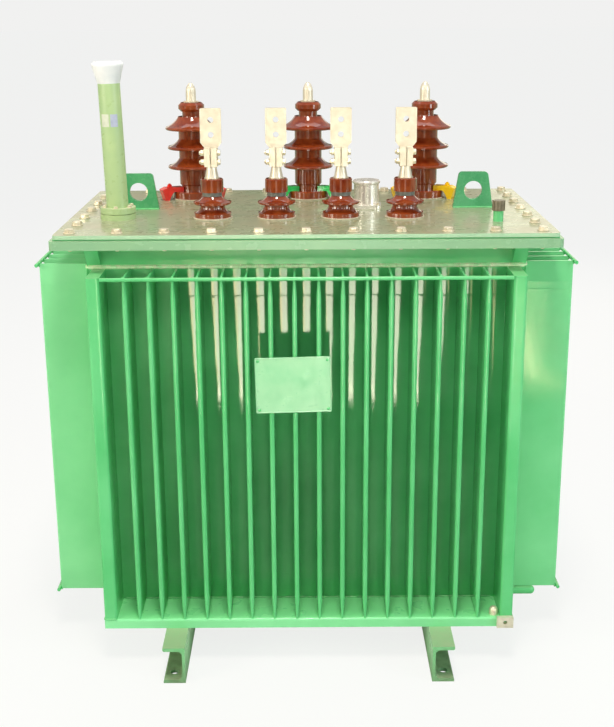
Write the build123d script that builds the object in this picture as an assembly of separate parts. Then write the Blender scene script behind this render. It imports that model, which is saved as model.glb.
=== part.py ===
from build123d import *
import os

# Sealed oil-filled power transformer with corrugated cooling walls, in millimetres.
# X runs along the long side of the cover, Y from front to back, Z up from the floor.
# The origin is on the floor, under the middle of the tank.

# Base channels: two rolled C-sections that run front to back, open outward
CHANNEL_HEIGHT = 84.0
CHANNEL_FLANGE = 48.0
CHANNEL_WEB = 6.5
CHANNEL_FLANGE_THICKNESS = 8.0
CHANNEL_ROOT_RADIUS = 10.0
CHANNEL_TOE_RADIUS = 4.0
CHANNEL_LENGTH = 890.0
CHANNEL_INNER_GAP = 536.0
FOOT_HOLE_DIAMETER = 18.0
FOOT_HOLE_END_DISTANCE = 34.0

# Tank: a closed box of oil and core, with a bottom frame, a plain collar and a rim flange
TANK_LENGTH = 930.0
TANK_WIDTH = 510.0
WALL_SHEET = 4.0
SKIRT_HEIGHT = 22.0
FIN_HEIGHT = 774.0
COLLAR_HEIGHT = 51.0
LEDGE_PLATE = 6.0
LEDGE_BEND_RADIUS = 5.0
RIM_OVERHANG = 66.0
RIM_THICKNESS = 19.0
RIM_CORNER_RADIUS = 10.0
GASKET_THICKNESS = 3.0
GASKET_INSET = 1.5
COVER_INSET = 7.0
COVER_THICKNESS = 8.0
GUSSET_WIDTH = 29.0
GUSSET_HEIGHT = 44.0
GUSSET_REACH = 30.0
GUSSET_TOE = 8.0
GUSSET_END_DISTANCE = 0.0

# Corrugated walls: folded fins with a round nose, pressed thin at both ends
FIN_PITCH = 50.0
FIN_THICKNESS = 10.0
FIN_PINCH_THICKNESS = 4.0
FIN_PINCH_LENGTH = 45.0
FRONT_FIN_DEPTH = 100.0
SIDE_FIN_DEPTH = 113.0
SIDE_FIELD_MARGIN = 50.0
POST_WIDTH = 28.0
POST_SHEET = 4.0
POST_BEND_RADIUS = 6.0
POST_INSET = 12.0

# Round stay rods welded across the fin noses
ROD_DIAMETER = 8.0
ROD_TOP_DROP = 2.0
SIDE_ROD_OVERHANG = 9.0
FRONT_ROD_INSET = 30.0

# Low-voltage bushings, in one row near the front
ROW_SHIFT = 6.0
LV_COUNT = 4
LV_SPACING = 142.0
LV_FRONT_DISTANCE = 213.0
LV_BASE_DIAMETER = 82.0
LV_BASE_HEIGHT = 12.0
LV_BASE_SLOPE = 13.0
LV_NECK_DIAMETER = 56.0
LV_SHED_DIAMETER = 84.0
LV_SHED_UNDERSIDE = 31.0
LV_SHED_RIM = 5.0
LV_SHED_SLOPE = 13.0
LV_FLARE_SAG = 3.0
LV_GROOVE_DIAMETER = 41.0
LV_GROOVE_HEIGHT = 9.0
LV_HEAD_DIAMETER = 50.0
LV_HEAD_TOP = 87.0
LV_NUT_DIAMETER = 31.0
LV_NUT_TOP_DIAMETER = 20.0
LV_NUT_HEIGHT = 28.0
LV_CLAMP_DIAMETER = 30.0
LV_CLAMP_HEIGHT = 40.0
LV_JAW_WIDTH = 28.0
LV_JAW_REACH = 24.0
LV_JAW_SLOT = 3.0
LV_FLAG_WIDTH = 46.0
LV_FLAG_FOOT_WIDTH = 30.0
LV_FLAG_TAPER = 10.0
LV_FLAG_HEIGHT = 84.0
LV_FLAG_THICKNESS = 8.0
LV_FLAG_CORNER = 3.0
LV_FLAG_HOLE_DIAMETER = 13.0
LV_FLAG_HOLE_SPACING = 32.0
LV_FLAG_HOLE_RISE = 27.0

# High-voltage bushings, in one row near the back
HV_SPACING = 280.0
HV_BACK_DISTANCE = 128.0
HV_BASE_DIAMETER = 100.0
HV_BASE_HEIGHT = 20.0
HV_COLLAR_DIAMETER = 58.0
HV_COLLAR_HEIGHT = 14.0
HV_BODY_DIAMETER = 65.0
HV_SHED_DIAMETER = 119.0
HV_TOP_SHED_DIAMETER = 127.0
HV_FIRST_SHED = 74.0
HV_SHED_PITCH = 46.0
HV_SHED_RIM = 7.0
HV_FLARE_HEIGHT = 18.0
HV_TOP_FLARE_HEIGHT = 24.0
HV_FLARE_SAG = 3.5
HV_NECK_DIAMETER = 44.0
HV_NECK_HEIGHT = 12.0
HV_CAP_DIAMETER = 62.0
HV_CAP_BEVEL = 6.0
HV_CAP_HEIGHT = 21.0
HV_TIP_DIAMETER = 24.0
HV_TIP_HEIGHT = 45.0
HV_TIP_NOSE_DIAMETER = 12.0
HV_TIP_NOSE_HEIGHT = 20.0
HV_TIP_NOSE_SAG = 1.5
EDGE_ROUNDING = 2.0

# Cast claws that hold each high-voltage bushing down, one on its left and one on its right
CLAW_WIDTH = 25.0
CLAW_HEIGHT = 31.0
CLAW_TIP_GAP = 1.0
CLAW_DISC_GAP = 4.0
CLAW_KNEE_GAP = 11.5
CLAW_KNEE_HEIGHT = 10.0
CLAW_FOOT_GAP = 16.0
CLAW_FOOT = 10.0
CLAW_SHOULDER_OUT = 8.0
CLAW_SHOULDER_DROP = 5.0
CLAW_BEVEL = 12.0
CLAW_TURN = 25.0

# Oil filler tube with its pair of bolted flanges and flared cap; the tube leans a little outward
TUBE_END_DISTANCE = 107.0
TUBE_FRONT_DISTANCE = 213.0
TUBE_LEAN = 1.3
TUBE_DIAMETER = 48.0
TUBE_WALL = 3.0
TUBE_HEIGHT = 293.0
TUBE_FLANGE_DIAMETER = 78.0
TUBE_FLANGE_THICKNESS = 12.0
TUBE_SEAL_DIAMETER = 70.0
TUBE_SEAL_THICKNESS = 2.0
CAP_TOP_DIAMETER = 68.0
CAP_HEIGHT = 46.0
CAP_RIM_HEIGHT = 9.0
CAP_DOME = 5.0

# Small fittings on the cover
RELIEF_X = 140.0
RELIEF_Y = 38.0
RELIEF_DIAMETER = 58.0
RELIEF_HEIGHT = 63.0
RELIEF_FLANGE_SIDE = 68.0
RELIEF_FLANGE_CORNER = 14.0
RELIEF_FLANGE_THICKNESS = 8.0
RELIEF_RIM_GROWTH = 3.0
FILLER_END_DISTANCE = 107.0
FILLER_FRONT_DISTANCE = 149.0
FILLER_STUB_DIAMETER = 22.0
FILLER_STUB_HEIGHT = 23.0
FILLER_CAP_DIAMETER = 25.0
FILLER_CAP_HEIGHT = 22.0
FILLER_RIB_SPAN = 28.0
FILLER_RIB_WIDTH = 3.0
FILLER_RIB_COUNT = 12

# Lifting lugs: flat plates that stand across the cover near its two ends
LUG_END_DISTANCE = 138.0
LUG_Y = 25.0
LUG_BASE = 92.0
LUG_TOP = 66.0
LUG_HEIGHT = 82.0
LUG_THICKNESS = 12.0
LUG_CORNER = 9.0
LUG_HOLE_DIAMETER = 42.0
LUG_HOLE_RISE = 40.0

# Rating plate on the front fins, earth pad at the right corner, drain stub at the right side
PLATE_WIDTH = 159.0
PLATE_HEIGHT = 121.0
PLATE_THICKNESS = 3.0
PLATE_X = -29.0
PLATE_DROP = 169.0
PLATE_CORNER = 4.0
PLATE_TURN = 1.2
PAD_WIDTH = 36.0
PAD_HEIGHT = 25.0
PAD_THICKNESS = 10.0
PAD_RISE = 1.0
PAD_OVERLAP_RIGHT = 1.0
PAD_HOLE_DIAMETER = 9.0
DRAIN_DIAMETER = 20.0
DRAIN_LENGTH = 65.0
DRAIN_FRONT_DISTANCE = 55.0
DRAIN_RISE = 11.0

# Levels and planes that follow from the sizes above
TANK_BOTTOM = CHANNEL_HEIGHT
FIN_BOTTOM = TANK_BOTTOM + SKIRT_HEIGHT
FIN_TOP = FIN_BOTTOM + FIN_HEIGHT
RIM_BOTTOM = FIN_TOP + COLLAR_HEIGHT
RIM_TOP = RIM_BOTTOM + RIM_THICKNESS
COVER_BOTTOM = RIM_TOP + GASKET_THICKNESS
COVER_TOP = COVER_BOTTOM + COVER_THICKNESS
HALF_LENGTH = TANK_LENGTH / 2
HALF_WIDTH = TANK_WIDTH / 2
CORE_LENGTH = TANK_LENGTH - 2 * WALL_SHEET
CORE_WIDTH = TANK_WIDTH - 2 * WALL_SHEET
RIM_LENGTH = TANK_LENGTH + 2 * RIM_OVERHANG
RIM_WIDTH = TANK_WIDTH + 2 * RIM_OVERHANG
COVER_LENGTH = RIM_LENGTH - 2 * COVER_INSET
COVER_WIDTH = RIM_WIDTH - 2 * COVER_INSET
POST_OUTER = HALF_LENGTH - POST_INSET
POST_INNER = POST_OUTER - POST_WIDTH
FRONT_FIELD = 2 * POST_INNER
FRONT_FIN_COUNT = int(FRONT_FIELD // FIN_PITCH) - 1
SIDE_FIN_COUNT = int((TANK_WIDTH - 2 * SIDE_FIELD_MARGIN) // FIN_PITCH) + 1
NOSE_PLANE = HALF_WIDTH + FRONT_FIN_DEPTH
SIDE_NOSE_PLANE = HALF_LENGTH + SIDE_FIN_DEPTH
LV_ROW_Y = LV_FRONT_DISTANCE - COVER_WIDTH / 2
HV_ROW_Y = COVER_WIDTH / 2 - HV_BACK_DISTANCE
TUBE_X = TUBE_END_DISTANCE - COVER_LENGTH / 2
TUBE_Y = TUBE_FRONT_DISTANCE - COVER_WIDTH / 2
FILLER_X = COVER_LENGTH / 2 - FILLER_END_DISTANCE
FILLER_Y = FILLER_FRONT_DISTANCE - COVER_WIDTH / 2
LUG_X = COVER_LENGTH / 2 - LUG_END_DISTANCE
DRAIN_Y = DRAIN_FRONT_DISTANCE - HALF_WIDTH


def slab(length, width, bottom, top, radius=0.0):
    """A flat plate centred over the origin, with round corners in plan where a radius is given."""
    outline = RectangleRounded(length, width, radius) if radius else Rectangle(length, width)
    return extrude(Plane.XY.offset(bottom) * outline, top - bottom)


def upright(outline, y, thickness):
    """A plate that stands across the transformer: an outline in X and Z, its front face at y."""
    return extrude(Plane.XZ.offset(-y) * outline, -thickness)


def turned(edges):
    """A round piece from its half outline, given in radius and height."""
    return revolve(Plane.XZ * make_face(edges), Axis.Z)


def base_channel(side):
    """One C-section rail: web on the inner side, flanges outward, foot holes near both ends."""
    depth = CHANNEL_FLANGE - CHANNEL_WEB
    hollow_height = CHANNEL_HEIGHT - 2 * CHANNEL_FLANGE_THICKNESS
    blank = Rectangle(CHANNEL_FLANGE, CHANNEL_HEIGHT, align=(Align.MIN, Align.MIN))
    hollow = Pos(CHANNEL_WEB, CHANNEL_FLANGE_THICKNESS) * Rectangle(
        depth, hollow_height, align=(Align.MIN, Align.MIN)
    )
    profile = blank - hollow
    inner = [v for v in profile.vertices() if CHANNEL_FLANGE_THICKNESS - 1 < v.Y]
    inner = [v for v in inner if v.Y < CHANNEL_HEIGHT - CHANNEL_FLANGE_THICKNESS + 1]
    roots = [v for v in inner if v.X < CHANNEL_FLANGE / 2]
    toes = [v for v in inner if v.X > CHANNEL_FLANGE / 2]
    profile = fillet(roots, CHANNEL_ROOT_RADIUS)
    toes = [profile.vertices().sort_by_distance(v)[0] for v in toes]
    profile = fillet(toes, CHANNEL_TOE_RADIUS)
    rail = extrude(Plane.XZ * profile, CHANNEL_LENGTH / 2, both=True)
    hole_x = (CHANNEL_WEB + CHANNEL_FLANGE) / 2
    hole_y = CHANNEL_LENGTH / 2 - FOOT_HOLE_END_DISTANCE
    for y in (-hole_y, hole_y):
        hole = Cylinder(FOOT_HOLE_DIAMETER / 2, 2 * CHANNEL_FLANGE_THICKNESS)
        rail -= Pos(hole_x, y, CHANNEL_FLANGE_THICKNESS / 2) * hole
    rail = Pos(CHANNEL_INNER_GAP / 2, 0, 0) * rail
    return rail if side > 0 else mirror(rail, Plane.YZ)


def tank_body():
    """The oil-filled box inside the walls, closed by its floor and by the cover."""
    return slab(CORE_LENGTH, CORE_WIDTH, TANK_BOTTOM, RIM_TOP)


def bottom_frame():
    """The skirt round the tank's foot, with a lipped ledge in front and behind under the fins."""
    skirt = slab(TANK_LENGTH, TANK_WIDTH, TANK_BOTTOM, FIN_BOTTOM)
    lipped = slab(2 * POST_OUTER, 2 * NOSE_PLANE, TANK_BOTTOM, FIN_BOTTOM)
    bends = lipped.edges().filter_by(Axis.X).group_by(Axis.Z)[-1]
    lipped = fillet(bends, LEDGE_BEND_RADIUS)
    under = slab(2 * POST_OUTER, 2 * (NOSE_PLANE - LEDGE_PLATE), TANK_BOTTOM, FIN_BOTTOM - LEDGE_PLATE)
    core = slab(CORE_LENGTH, CORE_WIDTH, TANK_BOTTOM, FIN_BOTTOM)
    return lipped - under + skirt - core


def fin_outline(thickness, depth, height):
    """Plan of one folded fin at one height: two flat sides and a half-round nose."""
    half = thickness / 2
    root = WALL_SHEET / 2
    shoulder = half - depth
    edges = [
        Line((half, root), (-half, root)),
        Line((-half, root), (-half, shoulder)),
        ThreePointArc((-half, shoulder), (0, -depth), (half, shoulder)),
        Line((half, shoulder), (half, root)),
    ]
    return Plane.XY.offset(height) * make_face(edges)


def fin(depth):
    """One fin, lofted so that its two ends close to the pressed seam."""
    levels = [
        (FIN_BOTTOM, FIN_PINCH_THICKNESS),
        (FIN_BOTTOM + FIN_PINCH_LENGTH, FIN_THICKNESS),
        (FIN_TOP - FIN_PINCH_LENGTH, FIN_THICKNESS),
        (FIN_TOP, FIN_PINCH_THICKNESS),
    ]
    return loft([fin_outline(thickness, depth, height) for height, thickness in levels], ruled=True)


def fin_wall(sheet_length, count, depth):
    """A corrugated wall facing -Y, its sheet's front at y = 0 and its fins in an even row."""
    sheet = Rectangle(sheet_length, WALL_SHEET, align=(Align.CENTER, Align.MIN))
    wall = extrude(Plane.XY.offset(FIN_BOTTOM) * sheet, FIN_HEIGHT)
    first = -(count - 1) / 2 * FIN_PITCH
    blade = fin(depth)
    return wall + [Pos(first + index * FIN_PITCH, 0, 0) * blade for index in range(count)]


def corner_post(side_x, side_y):
    """A folded channel that closes the end of a fin bank, open towards the tank, with a lid on top."""
    outer = Rectangle(POST_WIDTH, FRONT_FIN_DEPTH, align=(Align.MIN, Align.MIN))
    inner = Pos(POST_SHEET, 0) * Rectangle(
        POST_WIDTH - 2 * POST_SHEET, FRONT_FIN_DEPTH - POST_SHEET, align=(Align.MIN, Align.MIN)
    )
    bends = outer.vertices().group_by(Axis.Y)[-1]
    post = extrude(fillet(bends, POST_BEND_RADIUS), FIN_HEIGHT) - extrude(inner, FIN_HEIGHT - POST_SHEET)
    post = Pos(POST_INNER, HALF_WIDTH, FIN_BOTTOM) * post
    post = post if side_x > 0 else mirror(post, Plane.YZ)
    return post if side_y > 0 else mirror(post, Plane.XZ)


def tank_rim():
    """The plain collar above the fins with the bolting flange on it and gussets below."""
    collar = slab(TANK_LENGTH, TANK_WIDTH, FIN_TOP, RIM_BOTTOM)
    flange = slab(RIM_LENGTH, RIM_WIDTH, RIM_BOTTOM, RIM_TOP, RIM_CORNER_RADIUS)
    rim = collar + flange
    profile = Polyline(
        (0, RIM_BOTTOM),
        (GUSSET_REACH, RIM_BOTTOM),
        (GUSSET_REACH, RIM_BOTTOM - GUSSET_TOE),
        (0, RIM_BOTTOM - GUSSET_HEIGHT),
        close=True,
    )
    gusset = extrude(Plane.YZ * make_face(profile), GUSSET_WIDTH)
    gusset = Pos(HALF_LENGTH - GUSSET_END_DISTANCE - GUSSET_WIDTH, HALF_WIDTH, 0) * gusset
    for piece in (gusset, mirror(gusset, Plane.YZ)):
        rim = rim + piece + mirror(piece, Plane.XZ)
    return rim - slab(CORE_LENGTH, CORE_WIDTH, FIN_TOP, RIM_TOP)


def cover_gasket():
    """The flat seal between the flange and the cover."""
    outer = slab(COVER_LENGTH - 2 * GASKET_INSET, COVER_WIDTH - 2 * GASKET_INSET, RIM_TOP, COVER_BOTTOM)
    return outer - slab(CORE_LENGTH, CORE_WIDTH, RIM_TOP, COVER_BOTTOM)


def stay_rod(length, plane, height):
    """A round rod along X that touches the fin noses of a wall facing -Y."""
    rod = Cylinder(ROD_DIAMETER / 2, length, rotation=(0, 90, 0))
    return Pos(0, -(plane + ROD_DIAMETER / 2), height) * rod


def lv_porcelain():
    """A low bushing: flared foot, neck, one flared shed, a groove and a round head."""
    foot = LV_BASE_DIAMETER / 2
    neck = LV_NECK_DIAMETER / 2
    shed = LV_SHED_DIAMETER / 2
    groove = LV_GROOVE_DIAMETER / 2
    head = LV_HEAD_DIAMETER / 2
    shed_top = LV_SHED_UNDERSIDE + LV_SHED_RIM
    groove_bottom = shed_top + LV_SHED_SLOPE
    groove_top = groove_bottom + LV_GROOVE_HEIGHT
    neck_bottom = LV_BASE_HEIGHT + LV_BASE_SLOPE
    edges = list(Polyline((0, 0), (foot, 0), (foot, LV_BASE_HEIGHT)).edges())
    edges.append(SagittaArc((foot, LV_BASE_HEIGHT), (neck, neck_bottom), LV_FLARE_SAG))
    points = [
        (neck, neck_bottom),
        (neck, LV_SHED_UNDERSIDE),
        (shed - EDGE_ROUNDING, LV_SHED_UNDERSIDE),
        (shed, LV_SHED_UNDERSIDE + EDGE_ROUNDING),
        (shed, shed_top),
    ]
    edges += Polyline(*points).edges()
    edges.append(SagittaArc((shed, shed_top), (groove, groove_bottom), LV_FLARE_SAG))
    points = [
        (groove, groove_bottom),
        (groove, groove_top),
        (head, groove_top),
        (head, LV_HEAD_TOP - EDGE_ROUNDING),
        (head - EDGE_ROUNDING, LV_HEAD_TOP),
        (0, LV_HEAD_TOP),
        (0, 0),
    ]
    edges += Polyline(*points).edges()
    return turned(edges)


def lv_terminal():
    """The conductor's nut, the split clamp with two jaws in front, and the drilled connection flag."""
    nut_top = LV_HEAD_TOP + LV_NUT_HEIGHT
    clamp_top = nut_top + LV_CLAMP_HEIGHT
    cone = Polyline(
        (0, LV_HEAD_TOP),
        (LV_NUT_DIAMETER / 2, LV_HEAD_TOP),
        (LV_NUT_TOP_DIAMETER / 2, nut_top),
        (0, nut_top),
        close=True,
    )
    stud = LV_NUT_TOP_DIAMETER / 2
    jaws = Pos(0, -LV_JAW_REACH / 2) * Rectangle(LV_JAW_WIDTH, LV_JAW_REACH)
    slot = Pos(0, -(LV_JAW_REACH + stud) / 2) * Rectangle(LV_JAW_SLOT, LV_JAW_REACH - stud)
    plan = Circle(LV_CLAMP_DIAMETER / 2) + jaws - slot
    clamp = extrude(Plane.XY.offset(nut_top) * plan, LV_CLAMP_HEIGHT)
    outline = Polyline(
        (-LV_FLAG_FOOT_WIDTH / 2, 0),
        (LV_FLAG_FOOT_WIDTH / 2, 0),
        (LV_FLAG_WIDTH / 2, LV_FLAG_TAPER),
        (LV_FLAG_WIDTH / 2, LV_FLAG_HEIGHT),
        (-LV_FLAG_WIDTH / 2, LV_FLAG_HEIGHT),
        (-LV_FLAG_WIDTH / 2, LV_FLAG_TAPER),
        close=True,
    )
    face = make_face(outline)
    face = fillet(face.vertices().group_by(Axis.Y)[-1], LV_FLAG_CORNER)
    for rise in (LV_FLAG_HOLE_RISE, LV_FLAG_HOLE_RISE + LV_FLAG_HOLE_SPACING):
        face -= Pos(0, rise) * Circle(LV_FLAG_HOLE_DIAMETER / 2)
    flag = upright(Pos(0, clamp_top) * face, -LV_FLAG_THICKNESS / 2, LV_FLAG_THICKNESS)
    return turned(cone) + clamp + flag


def hv_shed(tip, diameter, flare):
    """The outline of one umbrella shed, from the body out to its rim and up its hollow flare."""
    body = HV_BODY_DIAMETER / 2
    rim = diameter / 2
    top = tip + HV_SHED_RIM
    return [
        Line((body, tip + EDGE_ROUNDING), (rim - EDGE_ROUNDING, tip)),
        Line((rim - EDGE_ROUNDING, tip), (rim, tip + EDGE_ROUNDING)),
        Line((rim, tip + EDGE_ROUNDING), (rim, top - EDGE_ROUNDING)),
        Line((rim, top - EDGE_ROUNDING), (rim - EDGE_ROUNDING, top)),
        SagittaArc((rim - EDGE_ROUNDING, top), (body, top + flare), HV_FLARE_SAG),
    ]


def hv_porcelain():
    """A tall bushing: foot disc, waist, three flared sheds, a neck and a bevelled cap."""
    foot = HV_BASE_DIAMETER / 2
    collar = HV_COLLAR_DIAMETER / 2
    body = HV_BODY_DIAMETER / 2
    neck = HV_NECK_DIAMETER / 2
    cap = HV_CAP_DIAMETER / 2
    collar_top = HV_BASE_HEIGHT + HV_COLLAR_HEIGHT
    tips = [HV_FIRST_SHED + index * HV_SHED_PITCH for index in range(3)]
    shoulder = tips[2] + HV_SHED_RIM + HV_TOP_FLARE_HEIGHT
    cap_bottom = shoulder + HV_NECK_HEIGHT
    cap_top = cap_bottom + HV_CAP_HEIGHT
    points = [
        (0, 0),
        (foot, 0),
        (foot, HV_BASE_HEIGHT - EDGE_ROUNDING),
        (foot - EDGE_ROUNDING, HV_BASE_HEIGHT),
        (collar, HV_BASE_HEIGHT),
        (collar, collar_top),
        (body - EDGE_ROUNDING, collar_top),
        (body, collar_top + EDGE_ROUNDING),
        (body, tips[0] + EDGE_ROUNDING),
    ]
    edges = list(Polyline(*points).edges())
    edges += hv_shed(tips[0], HV_SHED_DIAMETER, HV_FLARE_HEIGHT)
    edges.append(Line((body, tips[0] + HV_SHED_RIM + HV_FLARE_HEIGHT), (body, tips[1] + EDGE_ROUNDING)))
    edges += hv_shed(tips[1], HV_SHED_DIAMETER, HV_FLARE_HEIGHT)
    edges.append(Line((body, tips[1] + HV_SHED_RIM + HV_FLARE_HEIGHT), (body, tips[2] + EDGE_ROUNDING)))
    edges += hv_shed(tips[2], HV_TOP_SHED_DIAMETER, HV_TOP_FLARE_HEIGHT)
    points = [
        (body, shoulder),
        (neck, shoulder),
        (neck, cap_bottom),
        (cap - HV_CAP_BEVEL, cap_bottom),
        (cap, cap_bottom + HV_CAP_BEVEL),
        (cap, cap_top - HV_CAP_BEVEL),
        (cap - HV_CAP_BEVEL, cap_top),
        (0, cap_top),
        (0, 0),
    ]
    edges += Polyline(*points).edges()
    return turned(edges)


def hv_porcelain_height():
    """The seat of the metal tip above the cover."""
    top_shed = HV_FIRST_SHED + 2 * HV_SHED_PITCH + HV_SHED_RIM + HV_TOP_FLARE_HEIGHT
    return top_shed + HV_NECK_HEIGHT + HV_CAP_HEIGHT


def hv_terminal():
    """The metal tip on a tall bushing, a cap nut that narrows in a curve to a round nose."""
    seat = hv_porcelain_height()
    top = seat + HV_TIP_HEIGHT
    shoulder = top - HV_TIP_NOSE_HEIGHT
    radius = HV_TIP_DIAMETER / 2
    nose = HV_TIP_NOSE_DIAMETER / 2
    edges = [
        Line((0, seat), (radius, seat)),
        Line((radius, seat), (radius, shoulder)),
        SagittaArc((radius, shoulder), (nose, top - EDGE_ROUNDING), -HV_TIP_NOSE_SAG),
        Line((nose, top - EDGE_ROUNDING), (nose - EDGE_ROUNDING, top)),
        Line((nose - EDGE_ROUNDING, top), (0, top)),
        Line((0, top), (0, seat)),
    ]
    return turned(edges)


def hv_clamps():
    """Two hooked claws: each stands on the cover on a narrow foot and reaches over the foot disc."""
    disc = HV_BASE_DIAMETER / 2
    tip = HV_COLLAR_DIAMETER / 2 + CLAW_TIP_GAP
    bridge = disc + CLAW_DISC_GAP
    foot = disc + CLAW_FOOT_GAP
    heel = foot + CLAW_FOOT
    shoulder = heel + CLAW_SHOULDER_OUT
    drop = CLAW_HEIGHT - CLAW_SHOULDER_DROP
    edges = [
        Line((tip, HV_BASE_HEIGHT), (bridge, HV_BASE_HEIGHT)),
        ThreePointArc((bridge, HV_BASE_HEIGHT), (disc + CLAW_KNEE_GAP, CLAW_KNEE_HEIGHT), (foot, 0)),
        Line((foot, 0), (heel, 0)),
        Line((heel, 0), (shoulder, drop)),
        Line((shoulder, drop), (shoulder - CLAW_BEVEL, CLAW_HEIGHT)),
        Line((shoulder - CLAW_BEVEL, CLAW_HEIGHT), (tip, CLAW_HEIGHT)),
        Line((tip, CLAW_HEIGHT), (tip, HV_BASE_HEIGHT)),
    ]
    claw = extrude(Plane.XZ * make_face(edges), CLAW_WIDTH / 2, both=True)
    claw = Rot(0, 0, -CLAW_TURN) * claw
    return [claw, mirror(claw, Plane.YZ)]


def oil_tube():
    """A pipe on a pair of bolted flanges with a thin seal between them."""
    upright_end = (Align.CENTER, Align.CENTER, Align.MIN)
    length = TUBE_HEIGHT - TUBE_FLANGE_THICKNESS
    pipe = Cylinder(TUBE_DIAMETER / 2, length, align=upright_end)
    pipe -= Cylinder(TUBE_DIAMETER / 2 - TUBE_WALL, length, align=upright_end)
    pipe = Rot(0, -TUBE_LEAN, 0) * Pos(0, 0, TUBE_FLANGE_THICKNESS) * pipe
    flange = Cylinder(TUBE_FLANGE_DIAMETER / 2, TUBE_FLANGE_THICKNESS, align=upright_end)
    seal = Cylinder(TUBE_SEAL_DIAMETER / 2, TUBE_SEAL_THICKNESS, align=upright_end)
    foot = flange + Pos(0, 0, TUBE_FLANGE_THICKNESS) * seal
    foot += Pos(0, 0, TUBE_FLANGE_THICKNESS + TUBE_SEAL_THICKNESS) * flange
    return Pos(TUBE_X, TUBE_Y, COVER_TOP) * (foot + pipe)


def oil_tube_cap():
    """The plastic cap: a cup that widens upward to a plain rim with a shallow crown."""
    top = TUBE_HEIGHT + CAP_HEIGHT
    radius = CAP_TOP_DIAMETER / 2
    outline = Polyline(
        (0, TUBE_HEIGHT),
        (TUBE_DIAMETER / 2, TUBE_HEIGHT),
        (radius, top - CAP_RIM_HEIGHT),
        (radius, top - CAP_DOME),
        (radius - CAP_DOME, top),
        (0, top),
        close=True,
    )
    return Pos(TUBE_X, TUBE_Y, COVER_TOP) * Rot(0, -TUBE_LEAN, 0) * turned(outline)


def relief_valve():
    """A pressed can with a rolled rim on a square foot flange."""
    can = RELIEF_DIAMETER / 2
    rim = can + RELIEF_RIM_GROWTH
    foot = slab(RELIEF_FLANGE_SIDE, RELIEF_FLANGE_SIDE, 0, RELIEF_FLANGE_THICKNESS, RELIEF_FLANGE_CORNER)
    outline = Polyline(
        (0, 0),
        (can, 0),
        (can, RELIEF_HEIGHT - 3 * RELIEF_RIM_GROWTH),
        (rim, RELIEF_HEIGHT - 2 * RELIEF_RIM_GROWTH),
        (rim, RELIEF_HEIGHT - RELIEF_RIM_GROWTH),
        (can, RELIEF_HEIGHT),
        (0, RELIEF_HEIGHT),
        close=True,
    )
    return Pos(RELIEF_X, RELIEF_Y, COVER_TOP) * (turned(outline) + foot)


def filler_plug():
    """A short stub with a round cap, ribbed for the hand."""
    stub = extrude(Circle(FILLER_STUB_DIAMETER / 2), FILLER_STUB_HEIGHT)
    plan = Circle(FILLER_CAP_DIAMETER / 2)
    for index in range(FILLER_RIB_COUNT // 2):
        plan += Rot(0, 0, index * 360 / FILLER_RIB_COUNT) * Rectangle(FILLER_RIB_SPAN, FILLER_RIB_WIDTH)
    cap = extrude(Plane.XY.offset(FILLER_STUB_HEIGHT) * plan, FILLER_CAP_HEIGHT)
    return Pos(FILLER_X, FILLER_Y, COVER_TOP) * (stub + cap)


def lifting_lug(side):
    """A plate that narrows upward, with a round eye, welded upright on the cover."""
    outline = Polyline(
        (-LUG_BASE / 2, 0),
        (LUG_BASE / 2, 0),
        (LUG_TOP / 2, LUG_HEIGHT),
        (-LUG_TOP / 2, LUG_HEIGHT),
        close=True,
    )
    blank = make_face(outline)
    blank = fillet(blank.vertices().group_by(Axis.Y)[-1], LUG_CORNER)
    blank -= Pos(0, LUG_HOLE_RISE) * Circle(LUG_HOLE_DIAMETER / 2)
    return upright(Pos(side * LUG_X, COVER_TOP) * blank, LUG_Y - LUG_THICKNESS / 2, LUG_THICKNESS)


def rating_plate():
    """A bare flat plate that rests on the noses of the front fins, fixed a little askew."""
    face = RectangleRounded(PLATE_WIDTH, PLATE_HEIGHT, PLATE_CORNER)
    middle = FIN_TOP - PLATE_DROP - PLATE_HEIGHT / 2
    face = Pos(PLATE_X, middle) * Rot(0, 0, PLATE_TURN) * face
    return upright(face, -NOSE_PLANE - PLATE_THICKNESS, PLATE_THICKNESS)


def earth_pad():
    """A bare metal block with a tapped hole, on the front lip at the right corner."""
    face = Rectangle(PAD_WIDTH, PAD_HEIGHT) - Circle(PAD_HOLE_DIAMETER / 2)
    centre_x = POST_OUTER + PAD_OVERLAP_RIGHT - PAD_WIDTH / 2
    centre_z = TANK_BOTTOM + PAD_RISE + PAD_HEIGHT / 2
    return upright(Pos(centre_x, centre_z) * face, -NOSE_PLANE - PAD_THICKNESS, PAD_THICKNESS)


def drain_pipe():
    """A short closed stub with a round end, low on the right side."""
    radius = DRAIN_DIAMETER / 2
    straight = DRAIN_LENGTH - radius
    edges = [
        Line((0, 0), (radius, 0)),
        Line((radius, 0), (radius, straight)),
        CenterArc((0, straight), radius, 0, 90),
        Line((0, DRAIN_LENGTH), (0, 0)),
    ]
    return Pos(HALF_LENGTH, DRAIN_Y, TANK_BOTTOM + DRAIN_RISE) * Rot(0, 90, 0) * turned(edges)


def save(name, shape):
    """Write one node, a single solid or several that stay apart."""
    solids = shape if isinstance(shape, list) else shape.solids()
    whole = solids[0] if len(solids) == 1 else Compound(children=list(solids))
    export_step(whole, os.path.join("parts", name + ".step"))


os.makedirs("parts", exist_ok=True)

save("base_channel_left", base_channel(-1))
save("base_channel_right", base_channel(1))
save("tank_body", tank_body())
save("bottom_frame", bottom_frame())
save("tank_rim", tank_rim())
save("cover_gasket", cover_gasket())
save("cover", slab(COVER_LENGTH, COVER_WIDTH, COVER_BOTTOM, COVER_TOP, RIM_CORNER_RADIUS))

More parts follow.
